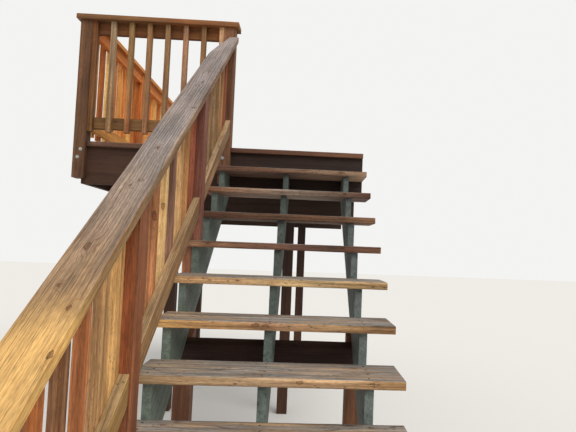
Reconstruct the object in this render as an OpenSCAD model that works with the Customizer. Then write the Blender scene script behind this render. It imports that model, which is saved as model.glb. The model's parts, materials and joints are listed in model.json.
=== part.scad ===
// Wooden deck stairs: an open flight of board treads on three cut stringers,
// a guard along its left side, and the landing deck that it climbs to.
// X runs to the right, Y up the flight and Z up. The origin is on the ground,
// under the middle of the middle stringer's foot.

/* [Steps] */
// Height of one step
rise = 183; // [165:1:195]
// Depth of one step, from riser cut to riser cut
run = 254; // [240:1:268]
// Number of steps, counting the one onto the deck
steps = 12; // [10:1:14]
// Tread length to the left of the middle stringer
tread_left = 527; // [480:1:600]
// Tread length to the right of the middle stringer
tread_right = 585; // [520:1:650]

/* [Lumber] */
// Thickness of the sawn boards
board_t = 38; // [35:1:42]
// Width of tread, deck and cap boards
board_w = 140; // [135:1:150]
// Gap between boards that lie side by side
board_gap = 3; // [2:1:6]
// Rounding of the long edges of boards
edge_r = 5; // [2:1:8]
// Clearance round a post where a board is cut out for it
notch_gap = 1; // [0.5:0.5:3]
// Width of stringers, rims and joists
joist_w = 286; // [270:1:300]
// Width of rails
rail_w = 89; // [80:1:100]
// Side of the guard posts
post_w = 89; // [85:1:100]
// Side of the balusters
baluster_w = 38; // [30:1:42]

/* [Stringers] */
// From the treads' left ends to the left stringer
left_inset = 47; // [40:1:80]
// From the right stringer to the treads' right ends
right_inset = 127; // [40:1:160]

/* [Stair guard] */
// Top of the cap above the line of the nosings
cap_height = 874; // [860:1:960]
// Top of the bottom rail above the line of the nosings
rail_height = 222; // [200:1:260]
// Steps between two posts of the flight
post_steps = 4; // [3:1:4]
// How far the posts' legs hang below their shoulders
leg_drop = 280; // [200:1:285]
// How far the cap runs out past the bottom post
cap_runout = 70; // [40:1:120]
// Length of the long taper at the cap's upper end
cap_taper = 410; // [200:1:450]
// Widest gap between two balusters
baluster_gap = 102; // [90:1:110]
// How far rails stand back from the posts' inner faces
rail_setback = 8; // [0:1:10]
// How far balusters reach below the bottom rail
baluster_tail = 30; // [10:1:60]

/* [Landing] */
// Width from the corner post's outer face to the deck's right edge
landing_width = 2205; // [2000:1:2500]
// Number of deck boards
deck_board_count = 17; // [12:1:20]
// Widest spacing of the joists
joist_spacing = 406; // [300:1:420]
// Depth of the beams under the joists
beam_h = 184; // [140:1:200]
// From the front rim to the front beam's middle
front_beam_back = 600; // [400:1:700]
// From the back rim to the back beam's middle
back_beam_in = 380; // [300:1:600]
// Spacing of the posts under the front beam
front_posts_spacing = 1013; // [900:1:1400]
// Spacing of the posts under the back beam
back_posts_spacing = 1176; // [900:1:1400]
// Shift of the back posts to the right of the deck's middle
back_posts_shift = 28; // [0:1:80]

/* [Landing guard] */
// Top of the cap above the deck
guard_height = 970; // [950:1:1070]
// Clear space under the bottom rails
rail_clearance = 102; // [90:1:120]
// How far the posts' legs end above the lower edge of the rims
leg_end = 40; // [20:1:80]

/* [Support under the flight] */
// Steps between the foot and the support
support_steps = 6; // [5:1:7]

/* [Hidden] */
$fn = 32;
slope = rise / run;
pitch = atan(slope);
// Height that a sloping board of thickness t takes up, measured plumb
function plumb(t) = t / cos(pitch);

tread_depth = 2 * board_w + board_gap;
nosing = tread_depth - run;
deck_top = steps * rise;
frame_top = deck_top - board_t;
leg_t = post_w - board_t;

// The stringer's foot is centred on the origin
foot = (plumb(joist_w) - (rise - board_t)) / slope;
function riser_y(step) = (step - 1) * run - foot / 2;
rim_y = riser_y(steps);
// Line through the outer corners of the stringer's cuts, and its lower edge
function corner_z(y) = rise - board_t + slope * (y - riser_y(1));
function underside_z(y) = corner_z(y) - plumb(joist_w);
// Line that the tread nosings touch
function nosing_z(y) = rise + slope * (y - riser_y(1) + nosing);

left_stringer_x = left_inset - tread_left;
right_stringer_x = tread_right - right_inset - board_t;
post_x = left_stringer_x - leg_t;
post_in_x = post_x + post_w;
guard_x = post_x + post_w / 2;

function cap_z(y) = nosing_z(y) + cap_height;
function sub_rail_z(y) = cap_z(y) - plumb(board_t);
function post_top_z(y) = sub_rail_z(y) - plumb(board_t);
function rail_z(y) = nosing_z(y) + rail_height;
guard_y = rim_y - leg_t;
flight_posts = [1, for (step = [steps - 2 * post_steps : post_steps : steps - 1]) step];
bay_from = [for (step = flight_posts) riser_y(step) + post_w];
bay_to = [for (i = [1 : 1 : len(flight_posts) - 1]) riser_y(flight_posts[i]), guard_y];

deck_depth = deck_board_count * (board_w + board_gap) - board_gap - 2 * nosing;
back_y = rim_y + deck_depth;
corner_x = tread_right - landing_width;
frame_left = corner_x + leg_t;
frame_right = tread_right;
deck_middle_x = (frame_left + frame_right) / 2;
beam_top = frame_top - joist_w;
beam_bottom = beam_top - beam_h;
joist_bays = ceil((frame_right - frame_left - board_t) / joist_spacing);
joist_pitch = (frame_right - frame_left - board_t) / joist_bays;
front_beam_y = rim_y + front_beam_back;
back_beam_y = back_y - back_beam_in;

guard_top = deck_top + guard_height - board_t;
low_rail_top = deck_top + rail_clearance + rail_w;
leg_low = frame_top - joist_w + leg_end;
side_back_y = back_y + leg_t - post_w;
// The side guard has two bays
side_bays = 2;
side_pitch = (side_back_y - guard_y) / side_bays;
function side_post_y(i) = guard_y + i * side_pitch;
baluster_in = leg_t - rail_setback - baluster_w;
cap_over = (board_w - post_w) / 2;

support_y = riser_y(support_steps + 1) + post_w;

function tread_name(step) = str("tread_", step < 10 ? "0" : "", step);

// Section of a board w wide and t thick with its long edges eased
module eased(w, t) {
    translate([edge_r, 0]) square([w - 2 * edge_r, t]);
    translate([0, edge_r]) square([w, t - 2 * edge_r]);
    for (x = [edge_r, w - edge_r], y = [edge_r, t - edge_r])
        translate([x, y]) circle(edge_r);
}

// Flat board along X: l long, w wide along Y and t thick
module board_x(l, w, t) {
    rotate([90, 0, 90]) linear_extrude(l) eased(w, t);
}

// Flat board along Y: l long, w wide along X and t thick
module board_y(l, w, t) {
    translate([0, l, 0]) rotate([90, 0, 0]) linear_extrude(l) eased(w, t);
}

// Plate t thick along X whose outline is given as [y, z] points
module side_plate(x, t, points) {
    translate([x, 0, 0]) rotate([90, 0, 90]) linear_extrude(t) polygon(points);
}

// Four corners of a stretch between two sloping lines with plumb ends
function band(y0, y1, low0, low1, high1, high0) =
    [[y0, low0], [y1, low1], [y1, high1], [y0, high0]];

// Eased board that lies flat on the slope, with its top on cap_z minus drop
module sloping_board(x, w, y0, y1, drop) {
    reach = (y1 - y0) / cos(pitch) + 4 * board_t;
    low = cap_z(y0) - drop;
    translate([x, y0, low]) rotate([pitch, 0, 0]) translate([0, -2 * board_t, -board_t])
        board_y(reach, w, board_t);
}

// Upright between two heights with the section of a post
module post(x, y, low, high) {
    translate([x, y, low]) cube([post_w, post_w, high - low]);
}

// Row of balusters along Y with sloping feet and tops; the end ones stand against the posts
module sloping_balusters(x, y0, y1) {
    room = y1 - y0 - baluster_w;
    count = ceil(room / (baluster_w + baluster_gap));
    low = -plumb(rail_w) - baluster_tail;
    for (i = [0 : count]) {
        y = y0 + i * room / count;
        side_plate(x, baluster_w, band(y, y + baluster_w, rail_z(y) + low,
            rail_z(y + baluster_w) + low, post_top_z(y + baluster_w), post_top_z(y)));
    }
}

// Sawtooth stringer, cut from one board: level foot, seats and plumb top end
module stringer(x) {
    cuts = [for (step = [1 : steps - 1])
        each [[riser_y(step), step * rise - board_t], [riser_y(step + 1), step * rise - board_t]]];
    points = concat(
        [[riser_y(1), 0]],
        cuts,
        [[rim_y, underside_z(rim_y)], [riser_y(1) + foot, 0]]
    );
    color("darkseagreen") side_plate(x, board_t, points);
}

// Space that a post w wide and d deep needs in boards whose top is at z
module post_notch(x, y, w, d, z) {
    translate([x - notch_gap, y - notch_gap, z - 2 * board_t])
        cube([w + 2 * notch_gap, d + 2 * notch_gap, 3 * board_t]);
}

// Two boards side by side; where a post passes, the front board is cut out behind its nosing
module tread(step) {
    y = riser_y(step) - nosing;
    z = step * rise;
    notch_x = min(post_x, -tread_left);
    color("tan") difference() {
        for (back = [0, board_w + board_gap])
            translate([-tread_left, y + back, z - board_t])
                board_x(tread_left + tread_right, board_w, board_t);
        if (len(search(step, flight_posts)) > 0)
            post_notch(notch_x, riser_y(step), post_in_x - notch_x, board_w - nosing, z);
        if (step == steps - 1)
            post_notch(notch_x, guard_y, post_in_x - notch_x, leg_t, z);
    }
}

// Post of the flight: it stands on the stringer's seat, and its leg laps the stringer's outer face
module flight_post(step, foot_z) {
    y = riser_y(step);
    seat = step * rise - board_t;
    color("sienna") union() {
        side_plate(post_x, post_w, band(y, y + post_w, seat, seat,
            post_top_z(y + post_w), post_top_z(y)));
        side_plate(post_x, leg_t, band(y, y + post_w, foot_z, foot_z,
            post_top_z(y + post_w), post_top_z(y)));
    }
}

// Post at the deck's front edge: it stands on the rim, laps the rim's face and passes the top tread
module top_post() {
    seat = (steps - 1) * rise - board_t;
    color("sienna") union() {
        post(post_x, guard_y, frame_top, guard_top);
        translate([post_x, guard_y, seat]) cube([post_w, leg_t, guard_top - seat]);
        translate([post_x, guard_y, leg_low]) cube([leg_t, leg_t, guard_top - leg_low]);
    }
}

// Cap of the flight: a flat board with a long taper on its outer side at the upper end
module stair_cap() {
    x = guard_x - board_w / 2;
    y0 = riser_y(1) - cap_runout;
    color("rosybrown") intersection() {
        sloping_board(x, board_w, y0, guard_y, 0);
        linear_extrude(cap_z(guard_y) + board_w)
            polygon([[x, y0], [x + board_w, y0], [x + board_w, guard_y],
                [guard_x, guard_y], [x, guard_y - cap_taper]]);
    }
}

// Flat rail under the cap, on top of the posts
module stair_sub_rail() {
    y0 = riser_y(1);
    color("saddlebrown") intersection() {
        sloping_board(post_x, post_w, y0, guard_y, plumb(board_t));
        translate([post_x, y0, 0]) cube([post_w, guard_y - y0, cap_z(guard_y)]);
    }
}

module stair_bottom_rails() {
    color("burlywood") for (i = [0 : len(bay_from) - 1]) {
        y0 = bay_from[i];
        y1 = bay_to[i];
        side_plate(post_in_x - rail_setback - board_t, board_t, band(y0, y1,
            rail_z(y0) - plumb(rail_w), rail_z(y1) - plumb(rail_w), rail_z(y1), rail_z(y0)));
    }
}

module stair_balusters(bay) {
    color("peru")
        sloping_balusters(post_x + baluster_in, bay_from[bay], bay_to[bay]);
}

// Boards of the landing, cut out round the guard posts
module deck_boards() {
    left = frame_left - nosing;
    color("tan") difference() {
        for (i = [0 : deck_board_count - 1])
            translate([left, rim_y - nosing + i * (board_w + board_gap), frame_top])
                board_x(frame_right - left, board_w, board_t);
        post_notch(post_x, guard_y, post_w, post_w, deck_top);
        for (i = [0 : side_bays])
            post_notch(corner_x, side_post_y(i), post_w, post_w, deck_top);
    }
}

// Board on edge along X, for the two rims
module rim(y) {
    color("maroon") translate([frame_left, y, frame_top - joist_w])
        cube([frame_right - frame_left, board_t, joist_w]);
}

// Joists between the rims, the outer two closing the sides
module deck_joists() {
    color("maroon") for (i = [0 : joist_bays])
        translate([frame_left + i * joist_pitch, rim_y + board_t, frame_top - joist_w])
            cube([board_t, deck_depth - 2 * board_t, joist_w]);
}

// Beam of two boards side by side, under the joists
module beam(y) {
    color("brown") translate([frame_left, y - board_t, beam_bottom])
        cube([frame_right - frame_left, 2 * board_t, beam_h]);
}

module deck_post(x, y) {
    color("brown") post(x - post_w / 2, y - post_w / 2, 0, beam_bottom);
}

// Post at the deck's front left corner, its leg cut out round the corner of the frame
module corner_post() {
    color("sienna") union() {
        post(corner_x, guard_y, frame_top, guard_top);
        translate([corner_x, guard_y, leg_low]) cube([leg_t, post_w, guard_top - leg_low]);
        translate([corner_x, guard_y, leg_low]) cube([post_w, leg_t, guard_top - leg_low]);
    }
}

// Post on the deck's left side; the last one laps the back corner of the frame
module side_post(y) {
    color("sienna") union() {
        post(corner_x, y, frame_top, guard_top);
        translate([corner_x, y, leg_low]) cube([leg_t, post_w, guard_top - leg_low]);
    }
}

module front_guard_cap() {
    x0 = corner_x - cap_over;
    color("rosybrown") translate([x0, guard_y - cap_over, guard_top])
        board_x(post_in_x + cap_over - x0, board_w, board_t);
}

// Rail on edge between the corner post and the top post of the flight
module front_rail(top) {
    x0 = corner_x + post_w;
    color("burlywood") translate([x0, guard_y + leg_t - rail_setback, top - rail_w])
        cube([post_x - x0, board_t, rail_w]);
}

module front_guard_balusters() {
    x0 = corner_x + post_w;
    room = post_x - x0 - baluster_w;
    count = ceil(room / (baluster_w + baluster_gap));
    color("peru") for (i = [0 : count])
        translate([x0 + i * room / count, guard_y + baluster_in, low_rail_top - rail_w - baluster_tail])
            cube([baluster_w, baluster_w, guard_top - low_rail_top + rail_w + baluster_tail]);
}

module side_guard_cap() {
    y0 = guard_y - cap_over + board_w;
    color("rosybrown") translate([corner_x - cap_over, y0, guard_top])
        board_y(side_back_y + post_w + cap_over - y0, board_w, board_t);
}

// Rails on edge between the side posts
module side_rails(top) {
    color("burlywood") for (i = [0 : side_bays - 1])
        translate([corner_x + leg_t - rail_setback, side_post_y(i) + post_w, top - rail_w])
            cube([board_t, side_pitch - post_w, rail_w]);
}

module side_guard_balusters() {
    room = side_pitch - post_w - baluster_w;
    count = ceil(room / (baluster_w + baluster_gap));
    color("peru") for (bay = [0 : side_bays - 1], i = [0 : count])
        translate([corner_x + baluster_in, side_post_y(bay) + post_w + i * room / count,
                low_rail_top - rail_w - baluster_tail])
            cube([baluster_w, baluster_w, guard_top - low_rail_top + rail_w + baluster_tail]);
}

// Short post under a stringer, its top cut to the stringer's lower edge
module support_post(x) {
    y = support_y;
    color("brown") side_plate(x + board_t / 2 - post_w / 2, post_w,
        band(y, y + post_w, 0, 0, underside_z(y + post_w), underside_z(y)));
}

// Board on edge across the fronts of the two short posts, bevelled to carry the middle stringer
module support_cross_board() {
    y = support_y - board_t;
    x0 = left_stringer_x + board_t / 2 - post_w / 2;
    x1 = right_stringer_x + board_t / 2 + post_w / 2;
    low = underside_z(y) - rail_w;
    color("brown") side_plate(x0, x1 - x0,
        band(y, y + board_t, low, low, underside_z(y + board_t), underside_z(y)));
}

stringer(left_stringer_x);  // stringer_left
stringer(-board_t / 2);  // stringer_middle
stringer(right_stringer_x);  // stringer_right
for (step = [1 : steps - 1])
    tread(step);
flight_post(flight_posts[0], 0);  // stair_post_foot
flight_post(flight_posts[1], flight_posts[1] * rise - board_t - leg_drop);  // stair_post_lower
flight_post(flight_posts[2], flight_posts[2] * rise - board_t - leg_drop);  // stair_post_upper
top_post();  // stair_post_top
stair_cap();
stair_sub_rail();
stair_bottom_rails();
stair_balusters(0);  // stair_balusters_lower
stair_balusters(1);  // stair_balusters_middle
stair_balusters(2);  // stair_balusters_upper
deck_boards();
rim(rim_y);  // front_rim
rim(back_y - board_t);  // back_rim
deck_joists();
beam(front_beam_y);  // front_beam
beam(back_beam_y);  // back_beam
deck_post(deck_middle_x - front_posts_spacing / 2, front_beam_y);  // deck_post_front_left
deck_post(deck_middle_x + front_posts_spacing / 2, front_beam_y);  // deck_post_front_right
deck_post(deck_middle_x + back_posts_shift - back_posts_spacing / 2, back_beam_y);  // deck_post_back_left
deck_post(deck_middle_x + back_posts_shift + back_posts_spacing / 2, back_beam_y);  // deck_post_back_right
corner_post();
side_post(side_post_y(1));  // side_post_middle
side_post(side_back_y);  // side_post_back
front_guard_cap();
front_rail(guard_top);  // front_guard_top_rail
front_rail(low_rail_top);  // front_guard_bottom_rail
front_guard_balusters();
side_guard_cap();
side_rails(guard_top);  // side_guard_top_rails
side_rails(low_rail_top);  // side_guard_bottom_rails
side_guard_balusters();
support_post(left_stringer_x);  // support_post_left
support_post(right_stringer_x);  // support_post_right
support_cross_board();
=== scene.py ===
import json
import math
import random

import bmesh
import bpy
from mathutils import Matrix, Vector, noise

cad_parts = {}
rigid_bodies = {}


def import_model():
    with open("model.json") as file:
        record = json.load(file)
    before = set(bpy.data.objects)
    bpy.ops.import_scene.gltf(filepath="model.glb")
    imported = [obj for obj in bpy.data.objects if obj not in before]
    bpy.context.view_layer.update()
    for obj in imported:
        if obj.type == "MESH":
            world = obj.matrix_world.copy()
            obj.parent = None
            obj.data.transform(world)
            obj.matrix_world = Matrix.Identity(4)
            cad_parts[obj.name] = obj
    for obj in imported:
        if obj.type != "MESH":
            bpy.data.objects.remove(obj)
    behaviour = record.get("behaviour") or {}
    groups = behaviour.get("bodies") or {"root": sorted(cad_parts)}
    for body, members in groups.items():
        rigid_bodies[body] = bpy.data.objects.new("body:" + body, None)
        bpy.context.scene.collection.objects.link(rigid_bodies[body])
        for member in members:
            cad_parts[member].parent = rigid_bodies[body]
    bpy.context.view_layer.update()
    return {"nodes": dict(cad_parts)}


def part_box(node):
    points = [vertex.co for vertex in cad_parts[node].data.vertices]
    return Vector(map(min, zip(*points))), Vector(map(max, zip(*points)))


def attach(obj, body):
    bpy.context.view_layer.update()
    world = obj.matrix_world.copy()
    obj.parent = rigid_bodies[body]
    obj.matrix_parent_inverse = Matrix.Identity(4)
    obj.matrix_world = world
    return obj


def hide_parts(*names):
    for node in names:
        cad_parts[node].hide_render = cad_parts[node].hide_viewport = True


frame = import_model()
scene = bpy.context.scene

# Camera, floor and light. The camera stands at eye height, a metre before the foot of
# the flight, and looks up it. The floor is the level ground that the stairs stand on,
# in plain pale grey, under one broad lamp and an even sky.
CAMERA_AT = Vector((0.1414, -1.1792, 1.4376))
CAMERA_YAW, CAMERA_PITCH, CAMERA_ROLL = (math.radians(a) for a in (2.437, 3.027, 2.165))
FOCAL_PIXELS = 494.41
IMAGE_WIDTH, IMAGE_HEIGHT = 576, 432
CENTRE_PIXEL = (324.58, 223.62)


def stand(name, data):
    """Puts an object with this mesh, lamp or lens in the scene."""
    thing = bpy.data.objects.new(name, data)
    scene.collection.objects.link(thing)
    return thing


forward = Vector((
    math.sin(CAMERA_YAW) * math.cos(CAMERA_PITCH),
    math.cos(CAMERA_YAW) * math.cos(CAMERA_PITCH),
    math.sin(CAMERA_PITCH),
))
level_right = Vector((math.cos(CAMERA_YAW), -math.sin(CAMERA_YAW), 0))
level_up = level_right.cross(forward)
right = math.cos(CAMERA_ROLL) * level_right + math.sin(CAMERA_ROLL) * level_up
up = math.cos(CAMERA_ROLL) * level_up - math.sin(CAMERA_ROLL) * level_right
lens = bpy.data.cameras.new("camera")
lens.sensor_fit = "HORIZONTAL"
lens.sensor_width = 36
lens.lens = FOCAL_PIXELS / IMAGE_WIDTH * lens.sensor_width
lens.shift_x = (IMAGE_WIDTH / 2 - CENTRE_PIXEL[0]) / IMAGE_WIDTH
lens.shift_y = (CENTRE_PIXEL[1] - IMAGE_HEIGHT / 2) / IMAGE_WIDTH
lens.clip_start = 0.02
lens.dof.use_dof = False
camera = stand("camera", lens)
turn = Matrix((right, up, -forward)).transposed()
camera.matrix_world = Matrix.Translation(CAMERA_AT) @ turn.to_4x4()
scene.camera = camera


def wire(tree, kind, inputs=None, **settings):
    """Adds a node, sets its own settings, and sets or links its inputs."""
    node = tree.nodes.new(kind)
    for name, value in settings.items():
        setattr(node, name, value)
    for key, value in (inputs or {}).items():
        if isinstance(value, bpy.types.NodeSocket):
            tree.links.new(value, node.inputs[key])
        else:
            node.inputs[key].default_value = value
    return node


def shade(code):
    """A colour as a paint chart writes it, #rrggbb, in the values that shaders add up."""
    parts = [int(code[i:i + 2], 16) / 255 for i in (1, 3, 5)]
    return tuple(c / 12.92 if c < 0.04045 else ((c + 0.055) / 1.055) ** 2.4 for c in parts)


def start_finish(name):
    """Starts a material, and hands over its shader too."""
    finish = bpy.data.materials.new(name)
    finish.use_nodes = True
    return finish, finish.node_tree.nodes["Principled BSDF"]


floor_half = 30
floor_corners = [(x * floor_half, y * floor_half, 0) for x, y in ((-1, -1), (1, -1), (1, 1), (-1, 1))]
floor_mesh = bpy.data.meshes.new("floor")
floor_mesh.from_pydata(floor_corners, [], [(0, 1, 2, 3)])
floor = stand("floor", floor_mesh)
floor_paint, floor_shader = start_finish("floor_paint")
floor_shader.inputs["Base Color"].default_value = (0.78, 0.77, 0.75, 1)
floor_shader.inputs["Roughness"].default_value = 0.9
floor_mesh.materials.append(floor_paint)

sky = bpy.data.worlds.new("sky")
scene.world = sky
sky.use_nodes = True
sky_tree = sky.node_tree
sky_tree.nodes.clear()
rays = wire(sky_tree, "ShaderNodeLightPath")
sky_light = wire(sky_tree, "ShaderNodeBackground", {"Color": (1.0, 0.99, 0.97, 1), "Strength": 0.62})
sky_seen = wire(sky_tree, "ShaderNodeBackground", {"Color": (0.9, 0.9, 0.89, 1), "Strength": 1.0})
sky_mix = wire(sky_tree, "ShaderNodeMixShader",
               {0: rays.outputs["Is Camera Ray"], 1: sky_light.outputs[0], 2: sky_seen.outputs[0]})
wire(sky_tree, "ShaderNodeOutputWorld", {"Surface": sky_mix.outputs[0]})

lamp = bpy.data.lights.new("broad_lamp", "SUN")
lamp.energy = 2.1
lamp.angle = math.radians(50)
lamp.color = (1.0, 0.97, 0.92)
lamp_holder = stand("broad_lamp", lamp)
lamp_holder.rotation_euler = Vector((0.45, -0.75, 1.0)).to_track_quat("Z", "Y").to_euler()

# Stringers. Three pressure-treated planks on edge, each sawn to a sawtooth, stand on
# level feet and carry the treads on their seats. The treatment leaves them grey-green,
# with short incised slits and black specks of mildew.
plank_width = 0.286
tread_names = sorted(n for n in frame["nodes"] if n.startswith("tread_"))
first_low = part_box(tread_names[0])[0]
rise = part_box(tread_names[1])[0].z - first_low.z
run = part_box(tread_names[1])[0].y - first_low.y
slope = rise / run
UP_THE_FLIGHT = (0, 1, slope)


def maths(tree, kind, a, b=0.0):
    return wire(tree, "ShaderNodeMath", {0: a, 1: b}, operation=kind).outputs[0]


def start_tree(name, **inputs):
    """Starts a Geometry Nodes tree whose named inputs, listed by kind, are the piece's sizes."""
    tree = bpy.data.node_groups.new(name, "GeometryNodeTree")
    for kind, labels in inputs.items():
        for label in labels:
            tree.interface.new_socket(label, in_out="INPUT", socket_type="NodeSocket" + kind)
    tree.interface.new_socket("Mesh", in_out="OUTPUT", socket_type="NodeSocketGeometry")
    return tree, wire(tree, "NodeGroupInput").outputs


def end_tree(tree, shape, finish):
    whole = wire(tree, "GeometryNodeRealizeInstances", {0: shape})
    coated = wire(tree, "GeometryNodeSetMaterial", {"Geometry": whole.outputs[0], "Material": finish})
    wire(tree, "NodeGroupOutput", {0: coated.outputs[0]})


def grow(name, tree, sizes):
    """Runs a tree with these sizes and keeps the result as a plain mesh."""
    blank = stand(name, bpy.data.meshes.new(name))
    growth = blank.modifiers.new("growth", "NODES")
    growth.node_group = tree
    for socket in tree.interface.items_tree:
        if socket.in_out == "INPUT" and socket.name in sizes:
            growth[socket.identifier] = sizes[socket.name]
    seen = blank.evaluated_get(bpy.context.evaluated_depsgraph_get())
    mesh = bpy.data.meshes.new_from_object(seen)
    blank.modifiers.remove(growth)
    bpy.data.objects.remove(blank)
    return mesh


def board_frame(along):
    """Unit vectors along a board's grain, to its side and across it."""
    along = Vector(along).normalized()
    across = Vector((0, 0, 1)) if abs(along.z) < 0.8 else Vector((0, 1, 0))
    side = along.cross(across).normalized()
    return along, side, side.cross(along)


def boards_of(mesh):
    """Lists the vertices of each separate board in a mesh."""
    left = set(mesh.verts)
    found = []
    while left:
        start = left.pop()
        board, edge = [start], [start]
        while edge:
            for link in edge.pop().link_edges:
                for vert in link.verts:
                    if vert in left:
                        left.remove(vert)
                        board.append(vert)
                        edge.append(vert)
        found.append(board)
    return found


def tone_at(tones, share):
    """Colour at a share of a board's length, between tones spaced evenly along it."""
    if isinstance(tones, str):
        return Vector(shade(tones))
    place = min(max(share, 0.0), 1.0) * (len(tones) - 1)
    i = min(int(place), len(tones) - 2)
    return Vector(shade(tones[i])).lerp(Vector(shade(tones[i + 1])), place - i)


SHARP_TURN = 0.7
SOFT_TURN = 0.2
CUT_SPACING = 0.07
# share of the painted light or shade that a board's right side takes
PAINTED_SIDE_SHARE = 0.7


def season(name, mesh, along, tones, seed, finish, arris=0.002, wear=0.0008, pith=None, sapwood=None):
    """Turns sawn blanks into seasoned boards: softens their edges, wears them and gives
    each its own place in the grain. tones holds a colour, or a few along the length, for
    each board in the order of their places, and starts again when it runs out. pith sets
    how far the heart of the log lies to the side and below. The last argument gives the
    colour painted on the right side, as the light or shade that falls on that face."""
    along, side, across = board_frame(along)
    bm = bmesh.new()
    bm.from_mesh(mesh)
    bmesh.ops.remove_doubles(bm, verts=bm.verts, dist=1e-5)
    bmesh.ops.dissolve_limit(bm, angle_limit=0.01, verts=bm.verts, edges=bm.edges)
    bmesh.ops.recalc_face_normals(bm, faces=bm.faces)
    reach = [v.co.dot(along) for v in bm.verts]
    low, high = min(reach), max(reach)
    sharp = [e for e in bm.edges if len(e.link_faces) == 2 and e.calc_face_angle(0) > SHARP_TURN]
    bmesh.ops.bevel(bm, geom=sharp, offset=arris, offset_type="OFFSET", segments=2,
                    profile=0.5, affect="EDGES", clamp_overlap=True)
    for i in range(1, int((high - low) / CUT_SPACING)):
        bmesh.ops.bisect_plane(bm, geom=bm.verts[:] + bm.edges[:] + bm.faces[:],
                               plane_co=along * (low + i * CUT_SPACING), plane_no=along)
    boards = boards_of(bm)
    middles = [sum((v.co for v in b), Vector()) / len(b) for b in boards]
    order = sorted(range(len(boards)), key=lambda i: round(sum(middles[i]), 3))
    draw = random.Random(seed)
    place = {}
    for rank, i in enumerate(order):
        shift = Vector((draw.uniform(0, 40), draw.uniform(-0.11, 0.11), draw.uniform(0.03, 0.16)))
        if pith:
            shift.y, shift.z = pith
        ends = [v.co.dot(along) for v in boards[i]]
        start, length = min(ends), max(ends) - min(ends)
        for v in boards[i]:
            share = (v.co.dot(along) - start) / length
            tone = tone_at(tones[rank % len(tones)], share)
            # the right half, and so the right face, takes the painted side colour: light on the flight's
            # posts, shade on the corner post
            if sapwood and v.co.x > middles[i].x:
                tone = tone.lerp(Vector(shade(sapwood)), PAINTED_SIDE_SHARE)
            place[v] = (middles[i], shift, tone)
    bm.normal_update()
    soft = [e for e in bm.edges if len(e.link_faces) == 2 and e.calc_face_angle(0) > SOFT_TURN]
    curved = {v for e in soft for v in e.verts}
    grain, tint, rub, moves = [], [], [], []
    for v in bm.verts:
        middle, shift, tone = place[v]
        local = v.co - middle
        point = Vector((local.dot(along), local.dot(side), local.dot(across))) + shift
        grain.append(point)
        tint.append(tone)
        rub.append(1.0 if v in curved else 0.0)
        dent = noise.noise(point * 9) * 0.5 + noise.noise(point * 31) * 0.5
        moves.append(v.normal * -wear * max(0.0, dent + 0.25) * (1.6 if v in curved else 0.5))
    for v, move in zip(bm.verts, moves):
        v.co += move
    for face in bm.faces:
        face.material_index = 0
    out = bpy.data.meshes.new(name)
    bm.to_mesh(out)
    bm.free()
    for label, rows in (("grain", grain), ("tint", tint)):
        layer = out.attributes.new(label, "FLOAT_VECTOR", "POINT")
        layer.data.foreach_set("vector", [c for row in rows for c in row])
    layer = out.attributes.new("rub", "FLOAT", "POINT")
    layer.data.foreach_set("value", rub)
    out.materials.append(finish)
    return stand(name, out)


def place_on_frame(piece, slot, *nodes):
    """Fixes a piece to the stairs' one body, in place of the plain solids it stands for."""
    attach(piece, "root")
    if nodes:
        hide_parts(*nodes)


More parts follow.
